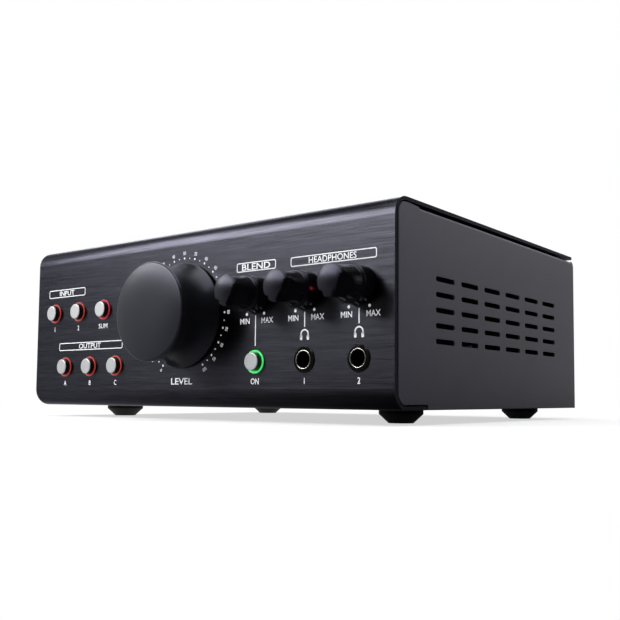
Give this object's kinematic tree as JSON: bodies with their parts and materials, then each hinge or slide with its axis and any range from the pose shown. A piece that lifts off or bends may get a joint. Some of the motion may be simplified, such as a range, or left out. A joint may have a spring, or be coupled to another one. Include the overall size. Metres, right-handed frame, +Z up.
{
  "type": "studio monitor controller",
  "caption": "Desktop studio monitor controller: bent front and top cover, vented sides, volume knob, finger knobs, lit push buttons, headphone jacks, rear sockets.",
  "frame": {"origin": "bottom centre of the bounding box, on the desk under the feet", "axes": "+X to the right seen from the front, +Y from the front panel to the rear, +Z up"},
  "size_m": [0.24, 0.2196, 0.0924],
  "materials": {
    "black_brushed_cover": "brushed aluminium sheet, anodised black, satin",
    "black_powder_coat": "steel sheet, fine textured black powder coat",
    "circuit_board": "green solder mask, satin",
    "ribbon": "grey PVC flat cable, satin",
    "black_plastic": "moulded black nylon, satin",
    "gloss_black_plastic": "moulded black ABS, semi-gloss",
    "soft_black_plastic": "moulded black ABS, soft matte coat",
    "satin_silver_plastic": "silver-grey ABS cap, satin",
    "red_lit_plastic": "clear polycarbonate light guide, lit red",
    "green_lit_plastic": "clear polycarbonate light guide, lit green",
    "capacitor_sleeve": "dark blue PVC sleeve, gloss",
    "relay_case": "off-white polyester case, satin",
    "pot_metal": "nickel-plated steel case and bush, dull",
    "bright_steel": "nickel-plated steel, bright",
    "black_steel": "black oxide steel, satin",
    "black_rubber": "moulded black rubber, matte",
    "brass": "turned brass, bare"
  },
  "bodies": {
    "case": {"base_plate": "black_powder_coat", "board_headers": "black_plastic", "board_screws": "bright_steel", "board_spacers": "brass", "button_switches": "black_plastic", "capacitors": "capacitor_sleeve", "case_screws": "black_steel", "crossfeed_light_ring": "green_lit_plastic", "crossfeed_pot": "pot_metal", "dc_inlet": "black_plastic", "feet": "black_rubber", "foot_screws": "bright_steel", "front_board": "circuit_board", "front_top_cover": "black_brushed_cover", "left_side_panel": "black_powder_coat", "main_board": "circuit_board", "mono_light_ring": "red_lit_plastic", "output_a_jacks": "black_plastic", "output_a_light_ring": "red_lit_plastic", "output_b_jacks": "black_plastic", "output_b_light_ring": "red_lit_plastic", "output_c_light_ring": "red_lit_plastic", "phones_1_pot": "pot_metal", "phones_2_pot": "pot_metal", "phones_jack_1": "black_plastic", "phones_jack_2": "black_plastic", "phones_jack_nuts": "black_plastic", "phones_jack_rings": "bright_steel", "phono_blocks": "black_plastic", "phono_shells": "bright_steel", "pot_nuts": "bright_steel", "power_lamp": "red_lit_plastic", "power_switch": "black_plastic", "rear_jack_nuts": "bright_steel", "rear_panel": "black_powder_coat", "relays": "relay_case", "ribbon_cable": "ribbon", "right_side_panel": "black_powder_coat", "source_1_jacks": "black_plastic", "source_1_light_ring": "red_lit_plastic", "source_2_light_ring": "red_lit_plastic", "usb_socket": "bright_steel", "volume_pot": "pot_metal"},
    "volume_control": {"volume_knob": "soft_black_plastic", "volume_shaft": "bright_steel"},
    "crossfeed_control": {"crossfeed_knob": "gloss_black_plastic", "crossfeed_shaft": "bright_steel"},
    "phones_1_control": {"phones_1_knob": "gloss_black_plastic", "phones_1_shaft": "bright_steel"},
    "phones_2_control": {"phones_2_knob": "gloss_black_plastic", "phones_2_shaft": "bright_steel"},
    "source_1_push": {"source_1_button": "satin_silver_plastic"},
    "source_2_push": {"source_2_button": "satin_silver_plastic"},
    "mono_push": {"mono_button": "satin_silver_plastic"},
    "output_a_push": {"output_a_button": "satin_silver_plastic"},
    "output_b_push": {"output_b_button": "satin_silver_plastic"},
    "output_c_push": {"output_c_button": "satin_silver_plastic"},
    "crossfeed_push": {"crossfeed_button": "satin_silver_plastic"},
    "power_toggle": {"power_rocker": "black_plastic"}
  },
  "joints": [
    {"name": "volume_turn", "type": "hinge", "parent": "case", "child": "volume_control", "pos_m": [-0.0004, -0.08715, 0.0499], "axis": [0, 1, 0], "range_deg": [0, 300]},
    {"name": "crossfeed_turn", "type": "hinge", "parent": "case", "child": "crossfeed_control", "pos_m": [0.0463, -0.08715, 0.0566], "axis": [0, 1, 0], "range_deg": [0, 300]},
    {"name": "phones_1_turn", "type": "hinge", "parent": "case", "child": "phones_1_control", "pos_m": [0.0746, -0.08715, 0.0566], "axis": [0, 1, 0], "range_deg": [0, 300]},
    {"name": "phones_2_turn", "type": "hinge", "parent": "case", "child": "phones_2_control", "pos_m": [0.1029, -0.08715, 0.0566], "axis": [0, 1, 0], "range_deg": [0, 300]},
    {"name": "source_1_press", "type": "slide", "parent": "case", "child": "source_1_push", "axis": [0, 1, 0], "range_m": [0, 0.0016], "stiffness_N_per_m": 150},
    {"name": "source_2_press", "type": "slide", "parent": "case", "child": "source_2_push", "axis": [0, 1, 0], "range_m": [0, 0.0016], "stiffness_N_per_m": 150},
    {"name": "mono_press", "type": "slide", "parent": "case", "child": "mono_push", "axis": [0, 1, 0], "range_m": [0, 0.0016], "stiffness_N_per_m": 150},
    {"name": "output_a_press", "type": "slide", "parent": "case", "child": "output_a_push", "axis": [0, 1, 0], "range_m": [0, 0.0016], "stiffness_N_per_m": 150},
    {"name": "output_b_press", "type": "slide", "parent": "case", "child": "output_b_push", "axis": [0, 1, 0], "range_m": [0, 0.0016], "stiffness_N_per_m": 150},
    {"name": "output_c_press", "type": "slide", "parent": "case", "child": "output_c_push", "axis": [0, 1, 0], "range_m": [0, 0.0016], "stiffness_N_per_m": 150},
    {"name": "crossfeed_press", "type": "slide", "parent": "case", "child": "crossfeed_push", "axis": [0, 1, 0], "range_m": [0, 0.0016], "stiffness_N_per_m": 150},
    {"name": "power_rock", "type": "hinge", "parent": "case", "child": "power_toggle", "pos_m": [0.099, 0.10135, 0.0622], "axis": [1, 0, 0], "range_deg": [0, 24]}
  ]
}
